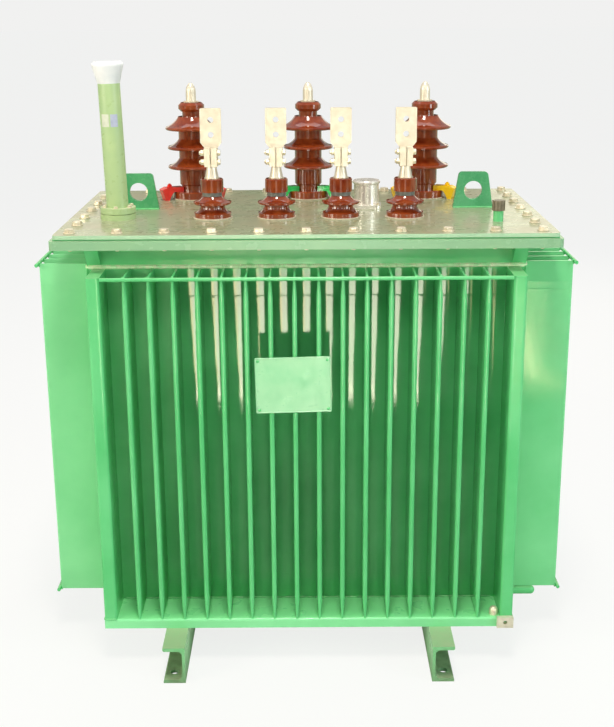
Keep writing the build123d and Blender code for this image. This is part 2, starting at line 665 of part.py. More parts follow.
front_wall = Pos(0, -HALF_WIDTH, 0) * fin_wall(TANK_LENGTH, FRONT_FIN_COUNT, FRONT_FIN_DEPTH)
left_wall = fin_wall(CORE_WIDTH, SIDE_FIN_COUNT, SIDE_FIN_DEPTH)
left_wall = Pos(-HALF_LENGTH, 0, 0) * Rot(0, 0, -90) * left_wall
save("fin_wall_front", front_wall)
save("fin_wall_back", mirror(front_wall, Plane.XZ))
save("fin_wall_left", left_wall)
save("fin_wall_right", mirror(left_wall, Plane.YZ))

for end_name, end in (("front", -1), ("back", 1)):
    for side_name, side in (("left", -1), ("right", 1)):
        save("corner_post_" + end_name + "_" + side_name, corner_post(side, end))

rod_level = FIN_TOP - ROD_TOP_DROP
front_rod = stay_rod(2 * (POST_OUTER - FRONT_ROD_INSET), NOSE_PLANE, rod_level)
side_rod_length = (SIDE_FIN_COUNT - 1) * FIN_PITCH + FIN_THICKNESS + 2 * SIDE_ROD_OVERHANG
side_levels = (rod_level, FIN_BOTTOM + ROD_TOP_DROP)
left_rods = [Rot(0, 0, -90) * stay_rod(side_rod_length, SIDE_NOSE_PLANE, level) for level in side_levels]
save("stay_rod_front", front_rod)
save("stay_rod_back", mirror(front_rod, Plane.XZ))
save("stay_rods_left", left_rods)
save("stay_rods_right", [mirror(rod, Plane.YZ) for rod in left_rods])

low_porcelain = lv_porcelain()
low_terminal = lv_terminal()
for index in range(LV_COUNT):
    place = Pos((index - (LV_COUNT - 1) / 2) * LV_SPACING + ROW_SHIFT, LV_ROW_Y, COVER_TOP)
    save("lv_porcelain_" + str(index + 1), place * low_porcelain)
    save("lv_terminal_" + str(index + 1), place * low_terminal)

tall_porcelain = hv_porcelain()
tall_terminal = hv_terminal()
claws = hv_clamps()
for index, phase in enumerate("abc"):
    place = Pos((index - 1) * HV_SPACING + ROW_SHIFT, HV_ROW_Y, COVER_TOP)
    save("hv_porcelain_" + phase, place * tall_porcelain)
    save("hv_terminal_" + phase, place * tall_terminal)
    save("hv_clamps_" + phase, [place * claw for claw in claws])

save("oil_tube", oil_tube())
save("oil_tube_cap", oil_tube_cap())
save("relief_valve", relief_valve())
save("filler_plug", filler_plug())
save("lifting_lug_left", lifting_lug(-1))
save("lifting_lug_right", lifting_lug(1))
save("rating_plate", rating_plate())
save("earth_pad", earth_pad())
save("drain_pipe", drain_pipe())
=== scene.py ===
# %% [markdown]
# # A corrugated-wall power transformer
# This lesson dresses the CAD model of a sealed, oil-filled power transformer as it waits for delivery.
# The CAD nodes keep their shapes. The lesson gives them finishes, and adds what a CAD model leaves out:
# bolts, nuts, washers, weld beads, rivets, seals and bare labels.

# %% Load the CAD frame
import math
import random

import bmesh
import bpy
from mathutils import Matrix, Vector


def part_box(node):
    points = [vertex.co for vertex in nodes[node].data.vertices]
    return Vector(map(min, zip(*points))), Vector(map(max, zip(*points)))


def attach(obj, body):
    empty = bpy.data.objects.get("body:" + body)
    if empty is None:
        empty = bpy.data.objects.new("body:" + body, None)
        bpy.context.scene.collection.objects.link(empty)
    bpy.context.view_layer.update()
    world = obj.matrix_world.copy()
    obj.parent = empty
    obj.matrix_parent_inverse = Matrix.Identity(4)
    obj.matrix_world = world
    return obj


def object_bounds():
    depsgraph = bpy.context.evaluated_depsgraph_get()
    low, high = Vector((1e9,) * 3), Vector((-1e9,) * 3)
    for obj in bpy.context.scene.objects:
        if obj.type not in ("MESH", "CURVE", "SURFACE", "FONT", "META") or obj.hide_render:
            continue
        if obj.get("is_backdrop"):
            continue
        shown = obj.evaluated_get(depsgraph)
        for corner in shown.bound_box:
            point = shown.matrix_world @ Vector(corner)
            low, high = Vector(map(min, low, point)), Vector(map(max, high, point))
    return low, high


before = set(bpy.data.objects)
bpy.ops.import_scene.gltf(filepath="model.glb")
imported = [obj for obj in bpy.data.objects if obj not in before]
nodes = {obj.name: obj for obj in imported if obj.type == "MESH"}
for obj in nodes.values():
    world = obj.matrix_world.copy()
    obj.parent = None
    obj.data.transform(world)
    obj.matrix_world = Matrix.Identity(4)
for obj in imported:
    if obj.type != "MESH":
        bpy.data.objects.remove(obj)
start_low, start_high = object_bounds()
MM = 0.001
TURN = 2 * math.pi
random.seed(7)
print("nodes:", len(nodes), "size in mm:", [round(side / MM) for side in start_high - start_low])

# %% [markdown]
# Colours are chosen as they look on a screen, in sRGB, but shader sockets take linear values.
# One function converts them. Another adds a shader node together with its settings and its links, so that
# a whole material reads as a short list.

# %% Colour and node helpers
def linear(code):
    """Turns an sRGB hex colour into linear RGBA."""
    values = [int(code[place : place + 2], 16) / 255 for place in (1, 3, 5)]
    low = [value / 12.92 for value in values]
    high = [((value + 0.055) / 1.055) ** 2.4 for value in values]
    chosen = [low[i] if values[i] <= 0.04045 else high[i] for i in range(3)]
    return (*chosen, 1.0)


def find(sockets, key):
    """A socket by its identifier, or else by its name."""
    for socket in sockets:
        if socket.identifier == key:
            return socket
    return sockets[key]


def add(tree, kind, inputs=None, out=0, **settings):
    """Adds a node, sets or links its inputs, and returns one of its outputs (or the node, for out=None)."""
    node = tree.nodes.new(kind)
    for name, value in settings.items():
        setattr(node, name, value)
    for key, value in (inputs or {}).items():
        socket = find(node.inputs, key)
        if isinstance(value, bpy.types.NodeSocket):
            tree.links.new(value, socket)
        else:
            socket.default_value = value
    if out is None:
        return node
    return node.outputs[out] if isinstance(out, int) else find(node.outputs, out)


def blank(owner):
    """The emptied node tree of a material or a world."""
    owner.use_nodes = True
    owner.node_tree.nodes.clear()
    return owner.node_tree


print("linear mid grey:", [round(value, 3) for value in linear("#808080")])

# %% [markdown]
# A few kinds of node come up again and again: arithmetic, a value moved from one range to another, a blend
# of two colours, and noise. A short name for each keeps the recipes below readable. Noise is given by the
# size of its pattern in mm, because that is what can be measured on a real surface.

# %% Short names for common nodes
NOISE_LOW = 0.3
NOISE_HIGH = 0.7


def per(size_mm):
    """The noise scale for a pattern of that size, for coordinates in metres."""
    return 1 / (size_mm * MM)


def calc(tree, operation, *values):
    """Arithmetic on one, two or three values."""
    sockets = zip(("Value", "Value_001", "Value_002"), values)
    return add(tree, "ShaderNodeMath", dict(sockets), operation=operation)


def span(tree, value, start, end, low=0.0, high=1.0, **settings):
    """Moves a value from the range start to end into the range low to high, and holds it there."""
    inputs = {"Value": value, "From Min": start, "From Max": end, "To Min": low, "To Max": high}
    return add(tree, "ShaderNodeMapRange", inputs, **settings)


def blend(tree, share, one, two):
    """A blend of two colours."""
    inputs = {"Factor_Float": share, "A_Color": one, "B_Color": two}
    return add(tree, "ShaderNodeMix", inputs, out="Result_Color", data_type="RGBA")


def noise(tree, place, size, detail):
    """Noise with a pattern size in mm."""
    return add(tree, "ShaderNodeTexNoise", {"Vector": place, "Scale": per(size), "Detail": detail})


def drift(tree, place, size, detail, low=0.0, high=1.0):
    """A value that drifts between two ends in patches of a size in mm."""
    return span(tree, noise(tree, place, size, detail), NOISE_LOW, NOISE_HIGH, low, high)


def split(tree, vector):
    """The X, Y and Z of a vector."""
    return add(tree, "ShaderNodeSeparateXYZ", {"Vector": vector}, out=None).outputs


print("noise scale of a 25 mm pattern:", round(per(25.0), 1))

# %% [markdown]
# Dust settles on faces that look up, in uneven patches, and it dulls them. Soil is splashed up from the
# floor and thins out with height. Both could be painted by hand. Here each is a share between 0 and 1 that
# tints the colour and roughens the gloss together, so that the two always agree.

# %% Dust and soil
DIRT_DETAIL = 8.0
DUST_AND_LIGHT_FACING = (0.6, 0.95)
DUST_AND_LIGHT_THIN = 0.6
DUST_AND_LIGHT_ROUGH = 0.25
SOIL_SMEAR = 25.0
SOIL_ROUGH = 0.8


def dusted_and_lit(tree, place, colour, gloss, tint, amount, size):
    """Colour and roughness under dust; on the ledge, under painted top light. Patch size in mm."""
    normal = add(tree, "ShaderNodeNewGeometry", out="Normal")
    laid = span(tree, split(tree, normal)["Z"], *DUST_AND_LIGHT_FACING)
    uneven = drift(tree, place, size, DIRT_DETAIL, amount * DUST_AND_LIGHT_THIN, amount)
    share = calc(tree, "MULTIPLY", laid, uneven)
    return blend(tree, share, colour, linear(tint)), calc(tree, "MULTIPLY_ADD", share, DUST_AND_LIGHT_ROUGH, gloss)


def soiled(tree, place, colour, gloss, tint, amount, reach):
    """Colour and roughness under soil, with the height it reaches in mm."""
    low = span(tree, split(tree, place)["Z"], 0.0, reach * MM, amount, 0.0)
    smear = noise(tree, place, SOIL_SMEAR, DIRT_DETAIL)
    share = calc(tree, "MULTIPLY", low, smear)
    return blend(tree, share, colour, linear(tint)), calc(tree, "MULTIPLY_ADD", share, SOIL_ROUGH, gloss)


print("dust is full where a face leans less than",
      round(math.degrees(math.acos(DUST_AND_LIGHT_FACING[1]))), "degrees")

# %% [markdown]
# Sheet is never flat. A broad wave bends its reflections, a pressed line near each end of a fold stiffens
# it, and between two folds it springs back into a shallow hump. Waves and lines are less than half a
# millimetre deep and the humps a millimetre or two. That shows in reflections and hardly in the outline,
# so they are bump, which bends the light and leaves the CAD mesh alone.
# The table of bulges gives, for each pair of walls, the axis along the wall, the axis across it, the two
# planes in metres between which the sheet lies, the shift by half folds, and how steeply the hump curves.

# %% Relief of sheet metal
BULGES = (
    ("X", "Y", 0.25, 0.30, 0.0, 4.0),
    ("X", "Y", 0.33, 0.40, 1.0, 45.0),
    ("Y", "X", 0.46, 0.50, 1.0, 2.6),
    ("Y", "X", 0.56, 0.60, 0.0, 45.0),
)
FLAT_FACE = 0.9
WAVE_DETAIL = 2.0
SEAM_HALF = 3.0
SEAM_DEPTH = 0.4
SEAM_STRENGTH = 0.3


def raised(tree, height, distance, normal=None, strength=1.0):
    """The normal bent by a relief whose full height is a distance in metres."""
    inputs = {"Height": height, "Strength": strength, "Distance": distance}
    if normal is not None:
        inputs["Normal"] = normal
    return add(tree, "ShaderNodeBump", inputs)


def waved(tree, place, normal, across, along, depth):
    """Soft waves, with their sizes sideways and upward and their depth in mm."""
    scale = (per(across), per(across), per(along))
    stretch = add(tree, "ShaderNodeMapping", {"Vector": place, "Scale": scale})
    swell = add(tree, "ShaderNodeTexNoise", {"Vector": stretch, "Scale": 1.0, "Detail": WAVE_DETAIL})
    return raised(tree, swell, depth * MM, normal)


def pressed(tree, parts, normal, level):
    """A level line pressed into the sheet at a height in mm."""
    away = calc(tree, "ABSOLUTE", calc(tree, "SUBTRACT", parts["Z"], level * MM))
    ridge = span(tree, away, 0.0, SEAM_HALF * MM, 1.0, 0.0, interpolation_type="SMOOTHSTEP")
    return raised(tree, ridge, SEAM_DEPTH * MM, normal, SEAM_STRENGTH)


def bulged(tree, parts, normal, pitch):
    """One shallow hump for each fold, with the pitch of the folds in mm."""
    facing = split(tree, add(tree, "ShaderNodeNewGeometry", out="True Normal"))
    half = pitch / 2 * MM
    for along, across, start, end, shift, curve in BULGES:
        moved = calc(tree, "ADD", parts[along], shift * half)
        offset = calc(tree, "WRAP", moved, half, -half)
        hump = calc(tree, "MULTIPLY", calc(tree, "MULTIPLY", offset, offset), -curve)
        level = calc(tree, "ABSOLUTE", parts[across])
        flat = calc(tree, "GREATER_THAN", calc(tree, "ABSOLUTE", facing[across]), FLAT_FACE)
        over = calc(tree, "GREATER_THAN", level, start)
        under = calc(tree, "LESS_THAN", level, end)
        for share in (flat, over, under):
            hump = calc(tree, "MULTIPLY", hump, share)
        normal = raised(tree, hump, 1.0, normal)
    return normal


print("bands of bulged sheet:", len(BULGES))

# %% [markdown]
# Almost every finish here is the same recipe with other numbers. A base colour drifts towards a second
# tone in soft patches. Roughness drifts too, in finer patches. A fine grain stands for sprayed paint or
# cast skin. Dust, soil and relief are added where a finish asks for them. Writing the recipe once keeps
# the finishes alike where the real ones are. Folds to the left of a place in metres have lost some of
# their gloss to handling, so a share is added to their roughness.

# %% One recipe for a surface
PATCH_DETAIL = 5.0
GLOSS_DETAIL = 6.0
GRAIN_DETAIL = 3.0
GLOSS_FINER = 5
COAT_ROUGH = 0.05
WORN_PLACE = (-0.27, -0.29)
WORN_ROUGH = 0.36


def surface(name, base, tone, rough, ior=1.5, metallic=0.0, patch=160.0, grain=(3.0, 0.03),
            wave=None, dust_and_light=None, soil=None, coat=0.0, seams=(), bulge=0.0):
    """A procedural material, with sizes, depths and heights in mm.

    rough is a range, grain a size and a depth, wave two sizes and a depth, dust a tint, a share and a
    patch size, soil a tint, a share and a height, seams a list of heights, and bulge the fold pitch.
    """
    material = bpy.data.materials.new(name)
    tree = blank(material)
    place = add(tree, "ShaderNodeTexCoord", out="Object")
    parts = split(tree, place)
    colour = blend(tree, drift(tree, place, patch, PATCH_DETAIL), linear(base), linear(tone))
    gloss = drift(tree, place, patch / GLOSS_FINER, GLOSS_DETAIL, *rough)
    if dust_and_light:
        colour, gloss = dusted_and_lit(tree, place, colour, gloss, *dust_and_light)
    if soil:
        colour, gloss = soiled(tree, place, colour, gloss, *soil)
    size, depth = grain
    normal = raised(tree, noise(tree, place, size, GRAIN_DETAIL), depth * MM)
    if wave:
        normal = waved(tree, place, normal, *wave)
    for level in seams:
        normal = pressed(tree, parts, normal, level)
    if bulge:
        gloss = calc(tree, "ADD", gloss, span(tree, parts["X"], *WORN_PLACE, 0.0, WORN_ROUGH))
        normal = bulged(tree, parts, normal, bulge)
    shader = add(tree, "ShaderNodeBsdfPrincipled", {"Base Color": colour, "Roughness": gloss,
                 "Metallic": metallic, "IOR": ior, "Normal": normal, "Coat Weight": coat,
                 "Coat Roughness": COAT_ROUGH})
    add(tree, "ShaderNodeOutputMaterial", {"Surface": shader}, out=None)
    return material


print("gloss drifts in patches", GLOSS_FINER, "times finer than the colour")

# %% [markdown]
# The tank is sprayed with a bright green gloss enamel over steel sheet. The folded fins show long soft
# waves and a pressed line near each end. The side fins are painted paler, a painted stand-in for the
# flatter light on them, and the ledge is painted a brighter green for the light from above. The flange
# has chalked, the cover's edge is painted pale as a highlight, and the seam under the collar carries
# painted glints. The cover has caught a warm film of dust, and the rails stand in splashed soil.

# %% Enamels
FIN_LINES = (168.0, 818.0)
FIN_PITCH = 50.0
GREEN = "#6ccf88"
DEEP_GREEN = "#56c074"
finishes = {
    "enamel": surface("Gloss enamel on steel", GREEN, DEEP_GREEN, (0.14, 0.26),
                      wave=(30.0, 140.0, 0.35), dust_and_light=("#93cf90", 0.6, 60.0)),
    "fins": surface("Gloss enamel on folded fins", GREEN, DEEP_GREEN, (0.05, 0.10),
                    wave=(24.0, 120.0, 0.16), seams=FIN_LINES, bulge=FIN_PITCH),
    "edge": surface("Chalked enamel on the flange", "#8cb88e", "#82b28b", (0.2, 0.3),
                    wave=(60.0, 60.0, 0.2), dust_and_light=("#b5c7a0", 0.5, 60.0)),
    # Painted highlight: the cover's side faces are painted pale where light catches the edge.
    "lit_edge": surface("Painted highlight on cover edge", "#b2d4b2", "#a4caa6", (0.2, 0.3), patch=60.0),
    # Painted light: the ledge's brighter green and its green top tint stand in for light from above.
    "ledge": surface("Ledge enamel, painted top light", "#8ee6a6", "#7cda94", (0.12, 0.2),
                     wave=(40.0, 40.0, 0.3), dust_and_light=("#86e49a", 0.7, 60.0)),
    # Painted light: the side fins are painted paler than the front fins, for the flatter light on them.
    "lit_panels": surface("Side fin enamel, painted paler", "#86dc9c", "#74d08c", (0.07, 0.14),
                      wave=(24.0, 120.0, 0.12), seams=FIN_LINES, bulge=FIN_PITCH),
    # Painted highlight: the pale green and cream patches of the seam bead stand in for glints.
    "seam": surface("Seam enamel, painted glints", "#b4f0b4", "#f2f2d2", (0.12, 0.3), patch=12.0),
    "lug": surface("Enamel on lug plate", "#58b078", "#4aa26b", (0.2, 0.32), patch=60.0,
                   wave=(30.0, 30.0, 0.25)),
    "cover": surface("Dusty enamel on the cover", "#79a87c", "#95ae88", (0.10, 0.22), coat=0.3,
                     wave=(120.0, 120.0, 0.6), dust_and_light=("#a89379", 0.65, 90.0)),
    "rails": surface("Enamel on rolled channel", "#6fb97c", "#86c48c", (0.22, 0.4), coat=0.1,
                     grain=(4.0, 0.08), dust_and_light=("#b1b193", 0.6, 30.0), soil=("#5d6349", 1.1, 60.0)),
    "tube": surface("Satin paint on pipe", "#b4cc93", "#a5c28c", (0.25, 0.4), patch=60.0,
                    wave=(10.0, 300.0, 0.12), dust_and_light=("#d6d2b4", 0.5, 30.0)),
    "plate": surface("Satin enamel on sheet", "#7cc692", "#98d2a4", (0.25, 0.38), patch=90.0,
                     wave=(80.0, 80.0, 0.4)),
}
print("enamels:", len(finishes))

# %% [markdown]
# Porcelain is glazed a deep red brown. The terminals are tinned brass, the bolts are zinc plated, and each
# pair of claws carries its phase colour. Glossy paint on such small parts gets a clear coat, which gives
# the sharp highlight of a thick brushed layer. Seals, cement and labels are matt.

# %% Porcelain, metals and small parts
finishes.update({
    "cap": surface("Moulded white plastic", "#f4f5f6", "#e3e7ea", (0.4, 0.55), ior=1.46, patch=30.0),
    "glaze": surface("Brown glazed porcelain", "#74260f", "#98461f", (0.04, 0.10), ior=1.55, patch=22.0,
                     coat=0.5, grain=(5.0, 0.05), wave=(16.0, 30.0, 0.2)),
    "tin": surface("Tinned brass", "#ece4d2", "#d9cfba", (0.3, 0.45), metallic=0.35, patch=18.0,
                   grain=(1.2, 0.03)),
    "valve": surface("Spun aluminium", "#f8f4ec", "#e8e2d6", (0.18, 0.3), metallic=0.45, patch=25.0,
                     wave=(9.0, 90.0, 0.25)),
    "zinc": surface("Zinc plated steel", "#efe6cf", "#d8ccb0", (0.25, 0.4), metallic=0.45, patch=9.0),
    "rubber": surface("Enamelled seal edge", "#5cae73", "#4a9a62", (0.4, 0.6), patch=20.0),
    "seal": surface("Pale seal", "#cfc5ae", "#bdb29a", (0.5, 0.65), patch=12.0),
    "cement": surface("Grey cement joint", "#7d807a", "#666a64", (0.3, 0.45), patch=8.0),
    "red": surface("Red gloss paint", "#e8322a", "#cc241c", (0.14, 0.25), patch=14.0, coat=0.3),
    "lime": surface("Phase green gloss paint", "#35d76b", "#26bd5a", (0.14, 0.25), patch=14.0, coat=0.3),
    "yellow": surface("Yellow gloss paint", "#ffd21a", "#f0bd08", (0.14, 0.25), patch=14.0, coat=0.3),
    "label": surface("Bare paper label", "#d5dac8", "#c3c9b6", (0.5, 0.6), patch=12.0),
    "tag": surface("Bare blue label", "#b7bdd2", "#a4abc4", (0.4, 0.5), patch=12.0),
    "aged": surface("Weathered plastic", "#8f856f", "#6f6652", (0.35, 0.5), patch=8.0),
})
print("finishes:", len(finishes))

# %% [markdown]
# Each CAD node keeps its mesh and gets a finish by name. A table of name beginnings is short, and the
# last match wins, so the cover can differ from the tank that it closes. Three nodes carry a second finish
# on some faces: the filler plug has a cap of weathered plastic, the flange has chalked, and the cover's
# edge is painted pale as a highlight. Each rule looks at a face and says whether it gets the second finish.

# %% Finishes on the CAD nodes
BY_NAME = {
    "": "enamel", "fin_wall": "fins", "cover": "cover", "cover_gasket": "rubber", "base_channel": "rails",
    "oil_tube": "tube", "oil_tube_cap": "cap", "rating_plate": "plate", "lv_porcelain": "glaze",
    "hv_porcelain": "glaze", "lv_terminal": "tin", "hv_terminal": "tin", "relief_valve": "valve",
    "earth_pad": "tin", "lifting_lug": "lug", "bottom_frame": "ledge",
    "fin_wall_left": "lit_panels", "fin_wall_right": "lit_panels",
    "hv_clamps_a": "red", "hv_clamps_b": "lime", "hv_clamps_c": "yellow",
}
for name, node in nodes.items():
    chosen = [BY_NAME[start] for start in BY_NAME if name.startswith(start)][-1]
    node.data.materials.clear()
    node.data.materials.append(finishes[chosen])
CAP_FROM = 24.0
FLANGE_FROM = 930.0
LOOKS_UP = 0.9
plug_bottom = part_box("filler_plug")[0].z
SECOND = {
    "filler_plug": ("aged", lambda face: face.center.z > plug_bottom + CAP_FROM * MM),
    "tank_rim": ("edge", lambda face: face.center.z > FLANGE_FROM * MM),
    # The cover's side faces take the painted edge highlight.
    "cover": ("lit_edge", lambda face: face.normal.z < LOOKS_UP),
}
for name, (finish, belongs) in SECOND.items():
    data = nodes[name].data
    data.materials.append(finishes[finish])
    for face in data.polygons:
        if belongs(face):
            face.material_index = 1
print("glazed nodes:", sum(1 for node in nodes.values() if node.data.materials[0] == finishes["glaze"]))

# %% [markdown]
# Small hardware is turned or hexagonal, so one function stacks rings of a given radius at given heights
# and skins them. Six sides make a hexagon, many make a round part. The result is placed by a matrix, and
# many copies go into one mesh, which keeps the piece list short.

# %% Rings, places and pieces
HEX = 6
SHARP = 35.0


def stack(mesh, rings, place, sides=HEX):
    """Skins rings of (radius, height) in mm into a closed body."""
    loops = []
    for radius, height in rings:
        loop = []
        for step in range(sides):
            angle = TURN * (step + 0.5) / sides
            point = Vector((radius * math.cos(angle), radius * math.sin(angle), height)) * MM
            loop.append(mesh.verts.new(place @ point))
        loops.append(loop)
    mesh.faces.new(list(reversed(loops[0])))
    mesh.faces.new(loops[-1])
    for low, high in zip(loops, loops[1:]):
        for step in range(sides):
            other = (step + 1) % sides
            mesh.faces.new((low[step], low[other], high[other], high[step]))


def at(x, y, z, tilt=(0.0, 0.0, 0.0)):
    """A place in metres with a turn about each axis, in degrees."""
    turn = Matrix.Identity(4)
    for axis, angle in zip("XYZ", tilt):
        turn = Matrix.Rotation(math.radians(angle), 4, axis) @ turn
    return Matrix.Translation((x, y, z)) @ turn


def middle(low, high):
    """The middle of a box seen from above."""
    return (low.x + high.x) / 2, (low.y + high.y) / 2


def piece(name, mesh, finish, bevel=0.0):
    """Turns a bmesh into an object that rides on the transformer, with its bevel in mm."""
    data = bpy.data.meshes.new(name)
    mesh.to_mesh(data)
    mesh.free()
    made = bpy.data.objects.new(name, data)
    bpy.context.scene.collection.objects.link(made)
    data.materials.append(finishes[finish])
    for face in data.polygons:
        face.use_smooth = True
    data.set_sharp_from_angle(angle=math.radians(SHARP))
    if bevel:
        soft = made.modifiers.new("Edges", "BEVEL")
        soft.width = bevel * MM
        soft.segments = 2
        soft.limit_method = "ANGLE"
        soft.angle_limit = math.radians(SHARP)
    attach(made, "root")
    print(name, len(data.polygons), "faces")


def hexagon(flats, height, chamfer=0.12, start=0.0):
    """The rings of a hex head or nut, from its width across flats, with a turned chamfer on top."""
    corner = flats / math.sqrt(3)
    top = start + height
    return [(corner, start), (corner, top - chamfer * height), (corner * (1 - chamfer), top)]


def disc(radius, height, start=0.0, ease=0.4):
    """The rings of a washer or pin with eased edges."""
    top = start + height
    return [(radius - ease, start), (radius, start + ease), (radius, top - ease), (radius - ease, top)]


print("an M10 head spans", round(hexagon(17.0, 6.4)[0][0] * 2, 1), "mm over its corners")

# %% [markdown]
# The cover is clamped to the tank's flange by a ring of bolts through the gasket. Each has a zinc head and
# a washer above. Below the flange its nut was painted with the tank, and only the bolt's end is bare.
# Their places follow from the cover's own box: the same margin on all sides, and an even pitch. No wrench
# leaves two heads turned alike, so each is spun by chance.

# %% The ring of cover bolts
BOLT_MARGIN = 31.0
SPIN = 60
BOLTS_LONG = 11
BOLTS_SHORT = 7
FLANGE = 22.0
COVER_WASHER = disc(12.5, 2.0)
COVER_HEAD = hexagon(18.0, 7.0, start=2.0)
COVER_NUT = hexagon(15.0, 5.0)
COVER_END = disc(4.5, 8.0)
cover_low, cover_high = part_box("cover")
cover_top = cover_high.z
flange_bottom = cover_low.z - FLANGE * MM
bolt_x = cover_high.x - BOLT_MARGIN * MM
bolt_y = cover_high.y - BOLT_MARGIN * MM
ring = []
for step in range(BOLTS_LONG):
    x = bolt_x * (2 * step / (BOLTS_LONG - 1) - 1)
    ring += [(x, -bolt_y), (x, bolt_y)]
for step in range(1, BOLTS_SHORT - 1):
    y = bolt_y * (2 * step / (BOLTS_SHORT - 1) - 1)
    ring += [(-bolt_x, y), (bolt_x, y)]
heads = bmesh.new()
nuts = bmesh.new()
ends = bmesh.new()
for x, y in ring:
    spin = random.uniform(0, SPIN)
    above = at(x, y, cover_top, (0, 0, spin))
    below = at(x, y, flange_bottom, (180, 0, spin))
    stack(heads, COVER_WASHER, above, sides=24)
    stack(heads, COVER_HEAD, above)
    stack(nuts, COVER_NUT, below)
    stack(ends, COVER_END, below, sides=16)
piece("cover_bolt_heads", heads, "zinc", bevel=0.3)
piece("cover_bolt_nuts", nuts, "enamel", bevel=0.3)
piece("cover_bolt_ends", ends, "zinc")
print("cover bolts:", len(ring), "pitch", round(2 * bolt_x / (BOLTS_LONG - 1) / MM, 1), "mm")

# %% [markdown]
# Sheet and section are joined by arc welds. A weld bead is a low ridge with a ripple for each pulse of
# the torch. One function sweeps a small ring along a path and lets its radius breathe, which costs few
# faces and reads as a weld under gloss paint. The tank has a bead where its collar meets the fins, under
# its flange, along its foot and up its four corners.

# %% Weld beads
RIPPLE = 4.0
RIPPLE_LOW = 0.82
RIPPLE_RISE = 0.18
RIPPLE_CHANCE = 0.05
TAPER_LOW = 0.4
TAPER_RISE = 0.3
FEWEST_STEPS = 4


def bead(mesh, start, end, radius):
    """A rippled ridge between two points in metres, with its radius in mm."""
    start = Vector(start)
    end = Vector(end)
    length = (end - start).length
    steps = max(FEWEST_STEPS, int(length / (RIPPLE / 2 * MM)))
    along = (end - start).to_track_quat("Z", "Y").to_matrix().to_4x4()
    rings = []
    for step in range(steps + 1):
        swell = RIPPLE_LOW + RIPPLE_RISE * (step % 2) + random.uniform(-RIPPLE_CHANCE, RIPPLE_CHANCE)
        taper = min(1.0, TAPER_LOW + TAPER_RISE * min(step, steps - step))
        rings.append((radius * swell * taper, step / steps * length / MM))
    stack(mesh, rings, Matrix.Translation(start) @ along)


COLLAR_SHEET = 4.0
SEAM_RISE = 3.0
SEAM_BEAD = 5.0
FLANGE_BEAD = 2.2
CORNER_BEAD = 2.4
FOOT_BEAD = 3.2
FOOT_REACH = 420.0
tank_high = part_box("tank_body")[1]
rim_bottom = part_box("tank_rim")[0].z
fin_low, fin_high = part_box("fin_wall_front")
fin_foot = fin_low.z
fin_top = fin_high.z
wall_x = tank_high.x + COLLAR_SHEET * MM
wall_y = tank_high.y + COLLAR_SHEET * MM
foot_x = FOOT_REACH * MM
welds = bmesh.new()
seam = bmesh.new()
around = ((fin_top + SEAM_RISE * MM, SEAM_BEAD, seam), (flange_bottom, FLANGE_BEAD, welds))
for level, radius, mesh in around:
    for side in (-1, 1):
        bead(mesh, (-wall_x, side * wall_y, level), (wall_x, side * wall_y, level), radius)
        bead(mesh, (side * wall_x, -wall_y, level), (side * wall_x, wall_y, level), radius)
for side in (-1, 1):
    x = side * wall_x
    bead(welds, (x, -wall_y, fin_foot), (x, wall_y, fin_foot), CORNER_BEAD)
    bead(welds, (-foot_x, side * wall_y, fin_foot), (foot_x, side * wall_y, fin_foot), FOOT_BEAD)
    for end in (-1, 1):
        bead(welds, (x, end * wall_y, fin_foot), (x, end * wall_y, rim_bottom), CORNER_BEAD)
piece("tank_welds", welds, "enamel")
# The collar seam's pale finish is a painted glint.
piece("collar_seam", seam, "seam")
print("tank welds end at", round(fin_top / MM), "mm")

# %% [markdown]
# The stay rods are tacked to every fin nose. A tack is a squashed drop of weld, placed where the rod's box
# and a nose meet, one above and one below the rod. Hand work varies, so size and turn are left to chance.

# %% Tacks on the stay rods
FRONT_FINS = 16
SIDE_FINS = 9
TACK_DROP = ((0.3, -1.0), (0.85, -0.5), (1.0, 0.0), (0.8, 0.5), (0.25, 0.9))
TACK_SIZE = 3.2
TACK_VARIES = (0.85, 1.15)
TACK_TURN = 40
TACK_STRAY = 1.0
TACK_INSET = 1.0
TACK_APART = 3.0
ROD_RADIUS = 4.0
tacks = bmesh.new()


def tack(x, y, z):
    """One drop of weld in metres."""
    size = TACK_SIZE * random.uniform(*TACK_VARIES)
    rings = [(size * wide, size * high) for wide, high in TACK_DROP]
    tilt = (random.uniform(0, TACK_TURN), random.uniform(0, TACK_TURN), 0)
    stack(tacks, rings, at(x, y, z, tilt), sides=8)


for end in ("front", "back"):
    low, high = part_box("stay_rod_" + end)
    side = -1 if end == "front" else 1
    inner = high.y if side < 0 else low.y
    for step in range(FRONT_FINS):
        x = (step - (FRONT_FINS - 1) / 2) * FIN_PITCH * MM
        for drop in (-1, 1):
            z = (low.z + high.z) / 2 + drop * TACK_APART * MM
            stray = random.uniform(-TACK_STRAY, TACK_STRAY) * MM
            tack(x + stray, inner - side * TACK_INSET * MM, z)
for name in ("left", "right"):
    low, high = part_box("stay_rods_" + name)
    inner = high.x if name == "left" else low.x
    for level in (low.z + ROD_RADIUS * MM, high.z - ROD_RADIUS * MM):
        for step in range(SIDE_FINS):
            y = (step - (SIDE_FINS - 1) / 2) * FIN_PITCH * MM
            for drop in (-1, 1):
                tack(inner, y, level + drop * TACK_APART * MM)
piece("stay_rod_tacks", tacks, "enamel")
print("tacks on", 2 * FRONT_FINS + 4 * SIDE_FINS, "noses")

# %% [markdown]
# Each corner post closes the end of a fin bank. It is welded to the ledge along its foot and to the tank
# up its root, so it gets two short beads and a long one. The same sweep makes them.

